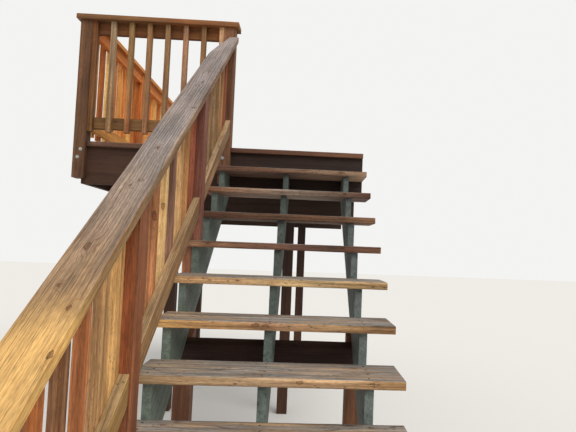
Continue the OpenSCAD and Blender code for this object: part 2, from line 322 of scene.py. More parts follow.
def wood(name, along, ring_gap=0.009, ring_depth=0.5, ring_turn=(1.0, 0.78, 0.62), streaks=0.4,
         contrast=1.0, knots=0.2, knots_at=(), checks=0.5, grey="#8a827b", weathered=0.5, even=0.3,
         specks=0.0, speck_size=1.0, slits=0.0, relief=0.6, painted_sunlight=None):
    """A sawn wood whose colour is each board's own tint. Growth rings run round a pith that
    lies beside the board, knots push them aside, and the weather greys what faces up, even
    being the share of that grey that no patch goes without. contrast spreads the light and
    dark within a board. knots_at lists places and radii of knots on boards that run along.
    The last argument gives the colour of painted sunlight on the lower end, the heights between which it
    fades out, and that of full grey, below which the weather grey is held back."""
    finish, shader = start_finish(name)
    tree = finish.node_tree
    grain = wire(tree, "ShaderNodeAttribute", attribute_name="grain").outputs["Vector"]
    tint = wire(tree, "ShaderNodeAttribute", attribute_name="tint").outputs["Color"]
    rub = wire(tree, "ShaderNodeAttribute", attribute_name="rub").outputs["Fac"]
    here = wire(tree, "ShaderNodeTexCoord").outputs["Object"]

    def vector(kind, a, b):
        return wire(tree, "ShaderNodeVectorMath", {0: a, 1: b}, operation=kind).outputs[0]

    def length(kind, a, b):
        return wire(tree, "ShaderNodeVectorMath", {0: a, 1: b}, operation=kind).outputs["Value"]

    def times(a, factor):
        return wire(tree, "ShaderNodeVectorMath", {0: a, 3: factor}, operation="SCALE").outputs[0]

    def cloud(place, detail):
        return wire(tree, "ShaderNodeTexNoise",
                    {"Vector": place, "Scale": 1.0, "Detail": detail, "Roughness": 0.55}).outputs["Fac"]

    def remap(value, a, b, c=0.0, d=1.0, smooth=False):
        return wire(tree, "ShaderNodeMapRange", {0: value, 1: a, 2: b, 3: c, 4: d},
                    interpolation_type="SMOOTHSTEP" if smooth else "LINEAR").outputs[0]

    def blend(factor, a, b):
        return wire(tree, "ShaderNodeMix", {0: factor, 6: a, 7: b}, data_type="RGBA").outputs[2]

    def calc(kind, a, b=0.0):
        return maths(tree, kind, a, b)

    def product(a, b):
        return maths(tree, "MULTIPLY", a, b)

    def stretch(lengthwise, sideways):
        return vector("MULTIPLY", grain, (lengthwise, sideways, sideways))

    # knots: now and then one along the board, and those that the listed places give;
    # apart is the distance from the nearest one, in its own radii
    cells = wire(tree, "ShaderNodeTexVoronoi", {"Vector": stretch(5.0, 12.0), "Scale": 1.0})
    chance = wire(tree, "ShaderNodeSeparateColor", {0: cells.outputs["Color"]}).outputs[0]
    chosen = remap(chance, 1.0 - knots, 1.01 - knots)
    apart = product(cells.outputs["Distance"], 15.0)
    apart = calc("ADD", apart, product(calc("SUBTRACT", 1.0, chosen), 15.0))
    if knots_at:
        axes = board_frame(along)
        stretched = wire(tree, "ShaderNodeCombineXYZ", {
            0: product(length("DOT_PRODUCT", here, axes[0]), 0.5),
            1: length("DOT_PRODUCT", here, axes[1]),
            2: length("DOT_PRODUCT", here, axes[2])}).outputs[0]
        for at, radius in knots_at:
            at = Vector(at)
            middle = (at.dot(axes[0]) * 0.5, at.dot(axes[1]), at.dot(axes[2]))
            apart = calc("MINIMUM", apart, calc("DIVIDE", length("DISTANCE", stretched, middle), radius))
    uneven = product(cloud(stretch(50.0, 120.0), 3.0), 2.0)
    apart = calc("ADD", apart, calc("SUBTRACT", uneven, 1.0))
    knot_near = remap(apart, 6.0, 0.6, smooth=True)
    knot_core = remap(apart, 1.0, 0.6, smooth=True)
    knot_rim = remap(calc("ABSOLUTE", calc("SUBTRACT", apart, 1.1)), 0.35, 0.05)

    # growth rings, of uneven width, which bend round the knots; the periods are what one
    # ring or band of a wave texture measures at scale 1
    ring_period = 2 * math.pi / 20
    band_period = 2 * math.pi / 10
    seam_gap = 0.02
    wander = wire(tree, "ShaderNodeTexNoise", {"Vector": stretch(1.3, 8.0), "Scale": 1.0, "Detail": 2.0})
    swell = vector("SUBTRACT", wander.outputs["Color"], (0.5, 0.5, 0.5))
    swell = vector("MULTIPLY", swell, (0.0, 0.055, 0.055))
    rings_at = vector("MULTIPLY", vector("ADD", grain, swell), (0.06, 1.0, 1.0))
    rings = wire(tree, "ShaderNodeTexWave",
                 {"Vector": rings_at, "Scale": ring_period / ring_gap, "Distortion": 1.2,
                  "Detail": 2.0, "Detail Scale": 0.3, "Phase Offset": product(knot_near, 12.0)},
                 wave_type="RINGS", rings_direction="X", wave_profile="SAW").outputs["Fac"]
    late = product(remap(rings, 0.7, 0.93, smooth=True), remap(rings, 1.0, 0.95, smooth=True))

    # within a board: fibres, fuzz, streaks and patches, and drying checks along seams
    fibre = cloud(stretch(7.0, 420.0), 2.0)
    fuzz = cloud(stretch(35.0, 260.0), 3.0)
    streak = cloud(stretch(1.4, 55.0), 4.0)
    patch = cloud(stretch(3.2, 11.0), 4.0)
    seams = wire(tree, "ShaderNodeTexWave",
                 {"Vector": stretch(0.02, 1.0), "Scale": band_period / seam_gap,
                  "Distortion": 3.0, "Detail": 3.0, "Detail Scale": 0.15},
                 wave_type="BANDS", bands_direction="DIAGONAL", wave_profile="SAW").outputs["Fac"]
    torn = cloud(stretch(5.0, 26.0), 2.0)
    whole = 0.72 - 0.25 * checks
    check = product(remap(seams, 0.95, 0.98), remap(torn, whole, whole + 0.04))

    def stain(share, turn):
        """Turns the colour, by three factors, where the share is high."""
        return blend(share, colour, vector("MULTIPLY", colour, turn))

    colour = tint
    colour = stain(product(late, ring_depth), ring_turn)
    colour = stain(product(remap(streak, 0.45, 0.75), streaks), (0.6, 0.52, 0.46))
    colour = stain(product(remap(streak, 0.45, 0.25), streaks * 0.6), (1.3, 1.28, 1.2))
    bright = remap(patch, 0.25, 0.75, 1.0 - 0.24 * contrast, 1.0 + 0.22 * contrast)
    bright = product(bright, remap(fibre, 0.25, 0.75, 0.72, 1.28))
    bright = product(bright, remap(streak, 0.3, 0.7, 1.0 + 0.3 * streaks, 1.0 - 0.4 * streaks))
    bright = product(bright, remap(fuzz, 0.3, 0.7, 1.0 - 0.16 * contrast, 1.0 + 0.16 * contrast))
    colour = times(colour, bright)
    # painted sunlight: a golden colour over the lower end of the piece, fading out upward
    if painted_sunlight:
        tone, full, gone, all_grey = painted_sunlight
        height = wire(tree, "ShaderNodeSeparateXYZ", {0: here}).outputs["Z"]
        sunlight_share = remap(height, gone, full, 0.0, 0.75, smooth=True)
        colour = blend(sunlight_share, colour, times(shade(tone), bright))

    # weather: greys what faces up, in uneven patches, more so between the rings
    normal = wire(tree, "ShaderNodeNewGeometry").outputs["Normal"]
    facing = remap(wire(tree, "ShaderNodeSeparateXYZ", {0: normal}).outputs["Z"], 0.35, 0.9)
    worn = remap(cloud(stretch(2.6, 22.0), 4.0), 0.36, 0.58, even * weathered, weathered)
    grey_share = product(facing, worn)
    grey_bright = product(bright, remap(late, 0.0, 1.0, 1.1, 1.0 - 0.7 * ring_depth))
    # the weather grey is held back under the painted sunlight and grows to full further up, partly painted
    # sky reflection
    if painted_sunlight:
        grey_share = product(grey_share, remap(height, full, all_grey, 0.1, 1.0))
    colour = blend(grey_share, colour, times(shade(grey), grey_bright))

    # rubbed edges, knots, checks, then specks of mildew and the slits of the treatment
    colour = stain(product(rub, 0.3), (1.3, 1.24, 1.12))
    colour = stain(product(knot_near, 0.4), (0.72, 0.6, 0.5))
    colour = blend(product(knot_core, 0.75), colour, vector("MULTIPLY", tint, (0.48, 0.32, 0.23)))
    colour = blend(product(knot_rim, 0.8), colour, (0.03, 0.015, 0.01, 1))
    colour = stain(product(check, 0.7), (0.25, 0.2, 0.17))
    height_map = calc("ADD", product(late, 0.35), product(fibre, 0.35))
    height_map = calc("SUBTRACT", height_map, product(check, 1.6))
    if specks:
        dots = wire(tree, "ShaderNodeTexVoronoi", {"Vector": stretch(70.0, 210.0), "Scale": 1.0 / speck_size})
        frayed = calc("ADD", cloud(stretch(300.0, 700.0), 2.0), 0.5)
        grouped = remap(cloud(stretch(9.0, 22.0), 3.0), 0.48, 0.62)
        dot = product(remap(product(dots.outputs["Distance"], frayed), 0.34, 0.12), grouped)
        colour = blend(product(dot, specks), colour, (0.02, 0.018, 0.014, 1))
    if slits:
        cuts = wire(tree, "ShaderNodeTexVoronoi", {"Vector": stretch(42.0, 150.0), "Scale": 1.0})
        slit = remap(cuts.outputs["Distance"], 0.3, 0.2)
        colour = blend(product(slit, slits), colour, (0.04, 0.045, 0.04, 1))
        height_map = calc("SUBTRACT", height_map, slit)
    tree.links.new(colour, shader.inputs["Base Color"])
    tree.links.new(remap(calc("ADD", streak, late), 0.3, 1.4, 0.67, 0.85), shader.inputs["Roughness"])
    bump = wire(tree, "ShaderNodeBump", {"Strength": relief, "Distance": 0.0015, "Height": height_map})
    tree.links.new(bump.outputs[0], shader.inputs["Normal"])
    shader.inputs["Specular IOR Level"].default_value = 0.35
    return finish


sawtooth, given = start_tree(
    "sawtooth_stringer", Int=["Treads"], Material=["Finish"],
    Float=["First Riser", "First Seat", "Rise", "Run", "Foot Back", "Top End Low", "Left Face", "Thickness"])
# even corners lie at a riser's foot, odd ones at its top, the last two on the lower edge
corner = wire(sawtooth, "GeometryNodeInputIndex").outputs[0]
last_seat = maths(sawtooth, "MULTIPLY", given["Treads"], 2.0)
steps_back = maths(sawtooth, "FLOOR", maths(sawtooth, "DIVIDE", corner, 2.0))
steps_up = maths(sawtooth, "FLOOR", maths(sawtooth, "DIVIDE", maths(sawtooth, "SUBTRACT", corner, 1.0), 2.0))
tooth_y = maths(sawtooth, "ADD", given["First Riser"], maths(sawtooth, "MULTIPLY", steps_back, given["Run"]))
tooth_z = maths(sawtooth, "ADD", given["First Seat"], maths(sawtooth, "MULTIPLY", steps_up, given["Rise"]))
tooth_z = maths(sawtooth, "MAXIMUM", tooth_z, 0.0)
past_teeth = maths(sawtooth, "GREATER_THAN", corner, last_seat)
at_foot = maths(sawtooth, "GREATER_THAN", corner, maths(sawtooth, "ADD", last_seat, 1.0))
outline_z = wire(sawtooth, "ShaderNodeMix", {0: past_teeth, 2: tooth_z, 3: given["Top End Low"]}).outputs[0]
outline_z = maths(sawtooth, "MULTIPLY", outline_z, maths(sawtooth, "SUBTRACT", 1.0, at_foot))
outline_y = wire(sawtooth, "ShaderNodeMix", {0: at_foot, 2: tooth_y, 3: given["Foot Back"]}).outputs[0]
corners = wire(sawtooth, "GeometryNodeMeshLine", {"Count": maths(sawtooth, "ADD", last_seat, 3.0)})
# the sweep along X turns its profile over, so the outline is drawn upside down
drawn = wire(sawtooth, "ShaderNodeCombineXYZ", {
    0: maths(sawtooth, "MULTIPLY", outline_y, -1.0), 1: maths(sawtooth, "MULTIPLY", outline_z, -1.0)})
outline = wire(sawtooth, "GeometryNodeSetPosition",
               {"Geometry": corners.outputs[0], "Position": drawn.outputs[0]})
outline = wire(sawtooth, "GeometryNodeMeshToCurve", {0: outline.outputs[0]})
outline = wire(sawtooth, "GeometryNodeSetSplineCyclic", {0: outline.outputs[0], "Cyclic": True})
left_end = wire(sawtooth, "ShaderNodeCombineXYZ", {0: given["Left Face"]})
right_face = maths(sawtooth, "ADD", given["Left Face"], given["Thickness"])
right_end = wire(sawtooth, "ShaderNodeCombineXYZ", {0: right_face})
sweep = wire(sawtooth, "GeometryNodeCurvePrimitiveLine",
             {"Start": left_end.outputs[0], "End": right_end.outputs[0]})
plank = wire(sawtooth, "GeometryNodeCurveToMesh",
             {"Curve": sweep.outputs[0], "Profile Curve": outline.outputs[0], "Fill Caps": True})
end_tree(sawtooth, plank.outputs[0], given["Finish"])

treated = wood("treated_plank", UP_THE_FLIGHT, ring_gap=0.011, ring_depth=0.3,
               ring_turn=(0.75, 0.78, 0.74), knots=0.1, checks=0.3, grey="#666b64", weathered=0.3,
               specks=0.95, speck_size=2.4, slits=0.2)
# tones up each stringer; the darker upper ones are painted shade beneath the landing
stringer_tones_and_shade = {
    "stringer_left": ("#667269", "#69766e", "#65716a", "#535c56"),
    "stringer_middle": ("#62716f", "#667674", "#505a57", "#434b49"),
    "stringer_right": ("#647170", "#6a7675", "#60696a", "#5a6262"),
}
plumb_width = plank_width * math.hypot(1, slope)
first_seat = first_low.z
for i, (node, tones) in enumerate(stringer_tones_and_shade.items()):
    low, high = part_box(node)
    mesh = grow(node, sawtooth, {
        "First Riser": low.y, "First Seat": first_seat, "Rise": rise, "Run": run,
        "Treads": len(tread_names), "Foot Back": low.y + (plumb_width - first_seat) / slope,
        "Top End Low": first_seat + slope * (high.y - low.y) - plumb_width,
        "Left Face": low.x, "Thickness": high.x - low.x, "Finish": treated})
    plank = season(node + "_plank", mesh, UP_THE_FLIGHT, [tones], 11 + i, treated, arris=0.0012, wear=0.0004)
    place_on_frame(plank, "stringer_wood", node)

# Treads. Each is two softwood boards side by side, laid flat on the seats, with long
# edges eased by the mill. Where a guard post passes, one board is cut out for it. The
# tops have weathered to grey, the fronts are still golden or red-brown.
RIGHT = (1, 0, 0)
board_width = 0.14
board_gap = 0.003
board_edge = 0.005
notch_room = 0.001
saw_past = 0.02

row, given = start_tree(
    "row_of_boards", Vector=["Start", "Length", "Step"], Float=["Width", "Thickness", "Edge", "Slant"],
    Int=["Count"], Bool=["Notched"], Object=["Notches"], Material=["Finish"])
section = wire(row, "GeometryNodeCurvePrimitiveQuadrilateral",
               {"Width": given["Width"], "Height": given["Thickness"]})
section = wire(row, "GeometryNodeFilletCurve",
               {"Curve": section.outputs[0], "Count": 3, "Radius": given["Edge"]}, mode="POLY")
axis = wire(row, "GeometryNodeCurvePrimitiveLine", {"Start": (0, 0, 0), "End": given["Length"]})
board = wire(row, "GeometryNodeCurveToMesh",
             {"Curve": axis.outputs[0], "Profile Curve": section.outputs[0], "Fill Caps": True})
lie = wire(row, "ShaderNodeSeparateXYZ", {0: wire(row, "GeometryNodeInputPosition").outputs[0]})
lift = wire(row, "ShaderNodeCombineXYZ", {2: maths(row, "MULTIPLY", lie.outputs["Y"], given["Slant"])})
board = wire(row, "GeometryNodeSetPosition", {"Geometry": board.outputs[0], "Offset": lift.outputs[0]})
places = wire(row, "GeometryNodeMeshLine",
              {"Count": given["Count"], "Start Location": given["Start"], "Offset": given["Step"]})
laid = wire(row, "GeometryNodeInstanceOnPoints", {"Points": places.outputs[0], "Instance": board.outputs[0]})
laid = wire(row, "GeometryNodeRealizeInstances", {0: laid.outputs[0]})
saw = wire(row, "GeometryNodeObjectInfo", {"Object": given["Notches"]})
sawn = wire(row, "GeometryNodeMeshBoolean", {0: laid.outputs[0], 1: saw.outputs["Geometry"]},
            operation="DIFFERENCE")
kept = wire(row, "GeometryNodeSwitch", {0: given["Notched"], 1: laid.outputs[0], 2: sawn.outputs[0]},
            input_type="GEOMETRY")
end_tree(row, kept.outputs[0], given["Finish"])


def lay_boards(node, count, finish, spaces):
    """Lays boards side by side and cuts out the spaces that posts need, each given by
    its left, front, right and back."""
    low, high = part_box(node)
    bm = bmesh.new()
    for space in spaces:
        near = Vector((space[0] - notch_room, space[1] - notch_room, low.z - saw_past))
        far = Vector((space[2] + notch_room, space[3] + notch_room, high.z + saw_past))
        size = Matrix.Diagonal(far - near).to_4x4()
        bmesh.ops.create_cube(bm, size=1, matrix=Matrix.Translation((near + far) / 2) @ size)
    mesh = bpy.data.meshes.new("notch_blocks")
    bm.to_mesh(mesh)
    bm.free()
    blocks = stand("notch_blocks", mesh)
    boards = grow(node, row, {
        "Start": (low.x, low.y + board_width / 2, (low.z + high.z) / 2), "Length": (high.x - low.x, 0, 0),
        "Width": board_width, "Thickness": high.z - low.z, "Edge": board_edge, "Count": count,
        "Step": (0, board_width + board_gap, 0), "Notched": bool(spaces), "Notches": blocks,
        "Finish": finish})
    bpy.data.objects.remove(blocks)
    return boards


posts_through = {tread_names[0]: "stair_post_foot", tread_names[3]: "stair_post_lower",
                 tread_names[7]: "stair_post_upper", tread_names[10]: "stair_post_top"}
front_tones = (
    "#b8905f", "#b48c5a", "#b8905f", "#b48c5a",
    ("#a88e6c", "#aa9070", "#c6a886", "#c8a680", "#9c7a52"),
    ("#e2b473", "#bc9568", "#b49070", "#b0906a", "#8a6844"), ("#c89e72", "#a88e6c", "#b69c74", "#b09066"),
    ("#a47e62", "#6a4c3e", "#5e4438", "#6a4834"),
    ("#5d3a28", "#694d3a", "#6a4c38", "#74563e"), ("#80553a", "#9a8a7c", "#5a382a"),
    ("#5a3c2c", "#6a5040", "#9a8068"))
tread_knots = (
    # tread, place along it from the middle stringer, back from its front edge, radius
    (3, -0.375, 0.226, 0.005), (3, 0.448, 0.242, 0.004), (4, 0.152, 0.002, 0.006), (4, 0.448, 0.004, 0.005),
    (4, -0.157, 0.159, 0.004), (4, -0.46, 0.131, 0.004), (4, 0.44, 0.127, 0.004), (4, -0.044, 0.255, 0.003),
    (5, -0.06, 0.002, 0.007), (5, 0.39, 0.133, 0.004), (5, -0.365, 0.116, 0.003), (6, -0.182, 0.004, 0.005),
    (7, -0.388, 0.001, 0.005), (7, 0.367, 0.001, 0.004), (8, 0.388, 0.001, 0.005), (9, 0.411, 0.001, 0.006),
    (10, 0.397, 0.001, 0.006))
front_band = 0.01
front_knot_depth = 0.014
top_knot_depth = 0.002
knot_places = []
for i, x, back, radius in tread_knots:
    low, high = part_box(tread_names[i])
    depth = front_knot_depth if back < front_band else top_knot_depth
    knot_places.append(((x, low.y + back, high.z - depth), radius))
tread_wood = wood("tread_board", RIGHT, ring_gap=0.008, ring_depth=0.7, streaks=0.9, contrast=1.7,
                  knots=0.4, knots_at=knot_places, checks=1.0, grey="#7d7c7b", weathered=0.95, even=0.45,
                  specks=0.9, speck_size=2.4, relief=0.8)
for i, node in enumerate(tread_names):
    low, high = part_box(node)
    spaces = []
    if node in posts_through:
        post_low, post_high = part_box(posts_through[node])
        seam = low.y + board_width
        spaces.append((low.x, post_low.y, post_high.x, seam if post_low.y < seam else high.y))
    mesh = lay_boards(node, 2, tread_wood, spaces)
    tread = season(node + "_boards", mesh, RIGHT, [front_tones[i]], 30 + i, tread_wood)
    place_on_frame(tread, "tread_wood", node)

# Screws in the treads. Two go through each board into each stringer, of coated steel
# with a socket in the head, driven flush.
DOWN = (0, 0, -1)
screw_radius = 0.0042
screw_inset = 0.035
aim_above = 0.02
aim_reach = 0.06


def fasteners(name, head_of):
    """Tree that drives fasteners in rows onto the surface of a board; head_of draws one."""
    tree, given = start_tree(
        name, Object=["Board"], Vector=["First", "Along", "Across", "Drive"], Float=["Radius", "Wander"],
        Int=["Along Count", "Across Count", "Seed"], Material=["Finish"])
    files = wire(tree, "GeometryNodeMeshLine",
                 {"Count": given["Along Count"], "Start Location": given["First"], "Offset": given["Along"]})
    ranks = wire(tree, "GeometryNodeMeshLine", {"Count": given["Across Count"], "Offset": given["Across"]})
    points = wire(tree, "GeometryNodeInstanceOnPoints",
                  {"Points": files.outputs[0], "Instance": ranks.outputs[0]})
    points = wire(tree, "GeometryNodeRealizeInstances", {0: points.outputs[0]})
    stray = wire(tree, "FunctionNodeRandomValue", {"Seed": given["Seed"], 0: (-1, -1, -1), 1: (1, 1, 1)},
                 data_type="FLOAT_VECTOR")
    stray = wire(tree, "ShaderNodeVectorMath", {0: stray.outputs[0], 3: given["Wander"]}, operation="SCALE")
    points = wire(tree, "GeometryNodeSetPosition",
                  {"Geometry": points.outputs[0], "Offset": stray.outputs[0]})
    wood_face = wire(tree, "GeometryNodeObjectInfo", {"Object": given["Board"]})
    aim = wire(tree, "GeometryNodeRaycast", {
        "Target Geometry": wood_face.outputs["Geometry"], "Ray Direction": given["Drive"],
        "Ray Length": aim_reach, "Source Position": wire(tree, "GeometryNodeInputPosition").outputs[0]})
    missed = wire(tree, "FunctionNodeBooleanMath", {0: aim.outputs["Is Hit"]}, operation="NOT")
    points = wire(tree, "GeometryNodeDeleteGeometry", {0: points.outputs[0], 1: missed.outputs[0]})
    points = wire(tree, "GeometryNodeSetPosition",
                  {"Geometry": points.outputs[0], "Position": aim.outputs["Hit Position"]})
    outwards = wire(tree, "ShaderNodeVectorMath", {0: given["Drive"], 3: -1.0}, operation="SCALE")
    upright = wire(tree, "FunctionNodeAlignRotationToVector", {"Vector": outwards.outputs[0]}, axis="Z")
    head = head_of(tree, given["Radius"])
    driven = wire(tree, "GeometryNodeInstanceOnPoints",
                  {"Points": points.outputs[0], "Instance": head, "Rotation": upright.outputs[0]})
    end_tree(tree, driven.outputs[0], given["Finish"])
    return tree


def screw_head(tree, radius):
    """Flat round head with a sunk socket."""
    disc = wire(tree, "GeometryNodeMeshCylinder", {"Vertices": 10, "Radius": radius, "Depth": 0.0016},
                fill_type="NGON")
    ring = wire(tree, "GeometryNodeExtrudeMesh",
                {"Mesh": disc.outputs["Mesh"], "Selection": disc.outputs["Top"], "Offset Scale": 0.0})
    ring = wire(tree, "GeometryNodeScaleElements",
                {"Geometry": ring.outputs["Mesh"], "Selection": ring.outputs["Top"], "Scale": 0.5})
    pit = wire(tree, "GeometryNodeExtrudeMesh",
               {"Mesh": ring.outputs[0], "Selection": disc.outputs["Top"], "Offset Scale": -0.001})
    return pit.outputs["Mesh"]


def metal(name, tone, rough, dull):
    """Bare or coated steel with dull patches."""
    finish, shader = start_finish(name)
    tree = finish.node_tree
    here = wire(tree, "ShaderNodeTexCoord").outputs["Object"]
    mottle = wire(tree, "ShaderNodeTexNoise", {"Vector": here, "Scale": 260.0, "Detail": 3.0}).outputs["Fac"]
    share = wire(tree, "ShaderNodeMapRange", {0: mottle, 1: 0.4, 2: 0.65}).outputs[0]
    colour = wire(tree, "ShaderNodeMix", {0: share, 6: (*shade(tone), 1), 7: (*shade(dull), 1)},
                  data_type="RGBA")
    tree.links.new(colour.outputs[2], shader.inputs["Base Color"])
    uneven = wire(tree, "ShaderNodeMapRange", {0: mottle, 3: rough - 0.1, 4: rough + 0.15}).outputs[0]
    tree.links.new(uneven, shader.inputs["Roughness"])
    shader.inputs["Metallic"].default_value = 0.6
    return finish


def join(name, meshes, finish):
    """One piece from several grown meshes."""
    bm = bmesh.new()
    for mesh in meshes:
        bm.from_mesh(mesh)
    for face in bm.faces:
        face.material_index = 0
    out = bpy.data.meshes.new(name)
    bm.to_mesh(out)
    bm.free()
    out.materials.append(finish)
    return stand(name, out)


screws = fasteners("flush_screws", screw_head)
screw_steel = metal("screw_steel", "#4b4238", 0.5, "#2c231c")
driven = []
for i, node in enumerate(tread_names):
    low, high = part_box(node)
    for stringer in stringer_tones_and_shade:
        left, right_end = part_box(stringer)
        driven.append(grow("screws", screws, {
            "Board": bpy.data.objects[node + "_boards"],
            "First": ((left.x + right_end.x) / 2, low.y + screw_inset, high.z + aim_above),
            "Along Count": 1, "Across Count": 4,
            "Across": (0, (board_width * 2 + board_gap - 2 * screw_inset) / 3, 0),
            "Drive": DOWN, "Radius": screw_radius, "Wander": 0.004, "Seed": 100 + i,
            "Finish": screw_steel}))
place_on_frame(join("tread_screws", driven, screw_steel), None)

# Guard posts of the flight. Rough-sawn red softwood, square, notched over the left
# stringer so that a leg hangs down its outer face; the top one laps the rim.
UPRIGHT = (0, 0, 1)


def fit_board(node, name, along, tones, seed, finish, slot, **wear):
    """Seasons the plain blank that a node holds and fixes it in its place."""
    piece = season(name, frame["nodes"][node].data, along, tones, seed, finish, **wear)
    place_on_frame(piece, slot, node)
    return piece


post_wood = wood("post", UPRIGHT, ring_gap=0.006, ring_depth=0.65, streaks=0.6, contrast=1.5, knots=0.12,
                 checks=0.9, grey="#7a6a5c", weathered=0.3, relief=0.8)
post_tones = {
    # along its height, and the paler right side, painted light on that face
    "stair_post_foot": (("#86492a", "#94502d"), "#8a5a3c"),
    "stair_post_lower": (("#80482b", "#a0552d", "#96502c"), "#8a5c3e"),
    "stair_post_upper": (("#be8458", "#7a4833", "#60352a", "#6e4232"), "#84564a"),
    "stair_post_top": (("#70503a", "#6a4632", "#7c553a"), "#6c4a34"),
}
for i, (node, (tones, painted_side_tone)) in enumerate(post_tones.items()):
    fit_board(node, node + "_wood", UPRIGHT, [tones], 60 + i, post_wood, "post_wood", sapwood=painted_side_tone)

# Bottom rails of the flight. Softwood boards on edge from post to post, parallel to
# the nosings, toe-nailed at their upper ends.
nail_radius = 0.0035
nail_inset = 0.035
nail_from_face = 0.011
nail_stagger = 0.006
aim_outside = 0.03
rail_wood = wood("rail", UP_THE_FLIGHT, ring_gap=0.007, ring_depth=0.7, streaks=0.6, contrast=1.4,
                 knots=0.12, checks=0.7, grey="#ab9371", weathered=0.8, specks=0.25)
rail_tones = [("#8f7048", "#a3824f"), ("#947550", "#8a6a48"), ("#86664a", "#846a4c")]
rails = fit_board("stair_bottom_rails", "stair_bottom_rail_boards", UP_THE_FLIGHT, rail_tones, 70, rail_wood,
                  "rail_wood")
low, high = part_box("stair_bottom_rails")
driven = []
for i, node in enumerate(("stair_post_lower", "stair_post_upper", "stair_post_top")):
    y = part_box(node)[0].y - nail_inset
    driven.append(grow("nails", screws, {
        "Board": rails, "First": (low.x + nail_from_face, y, high.z + slope * (y - high.y) + aim_outside),
        "Along": (high.x - low.x - 2 * nail_from_face, nail_stagger, 0), "Along Count": 2,
        "Across Count": 1, "Drive": DOWN, "Radius": nail_radius, "Wander": 0.002, "Seed": 72 + i,
        "Finish": screw_steel}))
place_on_frame(join("rail_nails", driven, screw_steel), None)

# Balusters of the flight. Square softwood sticks screwed to the outer faces of the two
# rails, cut to the slope at both ends. They come from mixed wood: cream, tan, red and
# purple-brown side by side.
widest_gap = 0.102
stick_edge = 0.0022
stick_arris = 0.0015
stick_screw_radius = 0.0038
bottom_screws, bottom_apart = 0.055, 0.045
top_screws, top_apart = 0.045, 0.024
baluster_wood = wood("baluster", UPRIGHT, ring_gap=0.008, ring_depth=0.7, streaks=0.7, contrast=1.5,
                     knots=0.2, knots_at=(((-0.496, 0.961, 1.555), 0.0075), ((-0.499, 1.088, 1.606), 0.007)),
                     checks=0.3, grey="#8a7a66", weathered=0.3, specks=0.6, speck_size=1.4)
bay_tones = {
    "stair_balusters_lower": ("#a5683a", "#bd7440", "#8a6242", "#b07044", "#bc9465", "#dcae70"),
    "stair_balusters_middle": ("#8a5a3c", "#80543c", "#b07850", "#dcb880", "#826050", "#cea472", "#a87a4c",
                               "#854a34"),
    "stair_balusters_upper": ("#744a3e", "#7c5644", "#8f7050", "#86694a", "#94754f", "#9a6f48", "#7e4a32"),
}


def stand_balusters(node, onward, drive, tones, seed, slant=0.0, post=None):
    """Stands balusters onward from the low end of their place, evenly spaced, the end ones
    against the posts, and drives two screws through each into either rail. A post in the
    middle makes two bays of them."""
    low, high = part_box(node)
    size = high - low
    onward, drive = Vector(onward), Vector(drive)
    side = size.dot(drive)
    tall = size.z - slant * size.y
    bays = [(0, size.x if onward.x else size.y)]
    if post:
        post_low, post_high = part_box(post)
        bays = [(0, post_low.y - low.y), (post_high.y - low.y, size.y)]
    rows = []
    for start, stop in bays:
        room = stop - start - side
        gaps = math.ceil(room / (side + widest_gap))
        rows.append((low + onward * (start + side / 2), onward * room / gaps, gaps + 1))
    meshes = [grow(node, row, {
        "Start": foot + drive * side / 2, "Length": (0, 0, tall), "Width": side, "Thickness": side,
        "Edge": stick_edge, "Slant": slant, "Count": count, "Step": step, "Finish": baluster_wood})
        for foot, step, count in rows]
    blank = join(node + "_blank", meshes, baluster_wood)
    sticks = season(node + "_sticks", blank.data, UPRIGHT, tones, seed, baluster_wood, arris=stick_arris)
    bpy.data.objects.remove(blank)
    place_on_frame(sticks, "baluster_wood", node)
    heads = [grow(node, screws, {
        "Board": sticks, "First": foot - drive * aim_outside + Vector((0, 0, height)), "Along": step,
        "Along Count": count, "Across": (0, 0, apart), "Across Count": 2, "Drive": drive,
        "Radius": stick_screw_radius, "Wander": 0.003, "Seed": seed, "Finish": screw_steel})
        for foot, step, count in rows
        for height, apart in ((bottom_screws, bottom_apart), (tall - top_screws, top_apart))]
    place_on_frame(join(node + "_screws", heads, screw_steel), None)


for i, (node, tones) in enumerate(bay_tones.items()):
    stand_balusters(node, UP_THE_FLIGHT, RIGHT, tones, 80 + i, slant=slope)

# Sub-rail and cap of the flight. A narrow softwood board lies flat on the posts, and a
# wide one on top of it is the handrail. Hands and rain have turned the cap grey-brown,
# with fine dark seams and small knots. Its lower end is painted golden as sunlight, and its
# grey, held back there, grows to full up the flight, partly as painted sky reflection.
fit_board("stair_sub_rail", "stair_sub_rail_board", UP_THE_FLIGHT, [("#8a5c34", "#7d5233", "#6e4a30")], 90,
          rail_wood, "rail_wood")
cap_low, cap_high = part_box("stair_cap")
cap_middle = (cap_low.x + cap_high.x) / 2
# heights along the cap where the painted sunlight is full and where it is gone, and where the grey is full
sunlight_till, sunlight_gone, all_grey_from = 0.02, 0.2, 0.95


def cap_top(y):
    """Height of the cap's top at a place along the flight."""
    return cap_high.z + slope * (y - cap_high.y)


cap_knots = (
    # place along the flight, to the right of the cap's middle, radius
    (0.335, -0.016, 0.007), (2.101, -0.009, 0.004), (1.828, 0.011, 0.004), (1.663, 0.012, 0.004),
    (1.612, -0.011, 0.003), (1.318, 0.043, 0.004), (0.916, 0.002, 0.005), (0.679, 0.012, 0.003),
    (0.646, -0.01, 0.004), (0.187, -0.022, 0.003), (0.117, 0.039, 0.004), (-0.01, 0.062, 0.005))
cap_wood = wood("cap_board", UP_THE_FLIGHT, ring_gap=0.011, ring_depth=1.0, streaks=0.55, contrast=1.6,
                knots=0.25, checks=0.95, grey="#8e8786", weathered=0.95, even=0.75, relief=0.8,
                knots_at=[((cap_middle + across, y, cap_top(y)), radius) for y, across, radius in cap_knots],
                painted_sunlight=("#dcae66", cap_top(sunlight_till), cap_top(sunlight_gone), cap_top(all_grey_from)))
fit_board("stair_cap", "stair_cap_board", UP_THE_FLIGHT, [("#a5804f", "#8a6e4e", "#826650", "#806a5a")], 91,
          cap_wood, "cap_wood", pith=(0.14, 0.06))
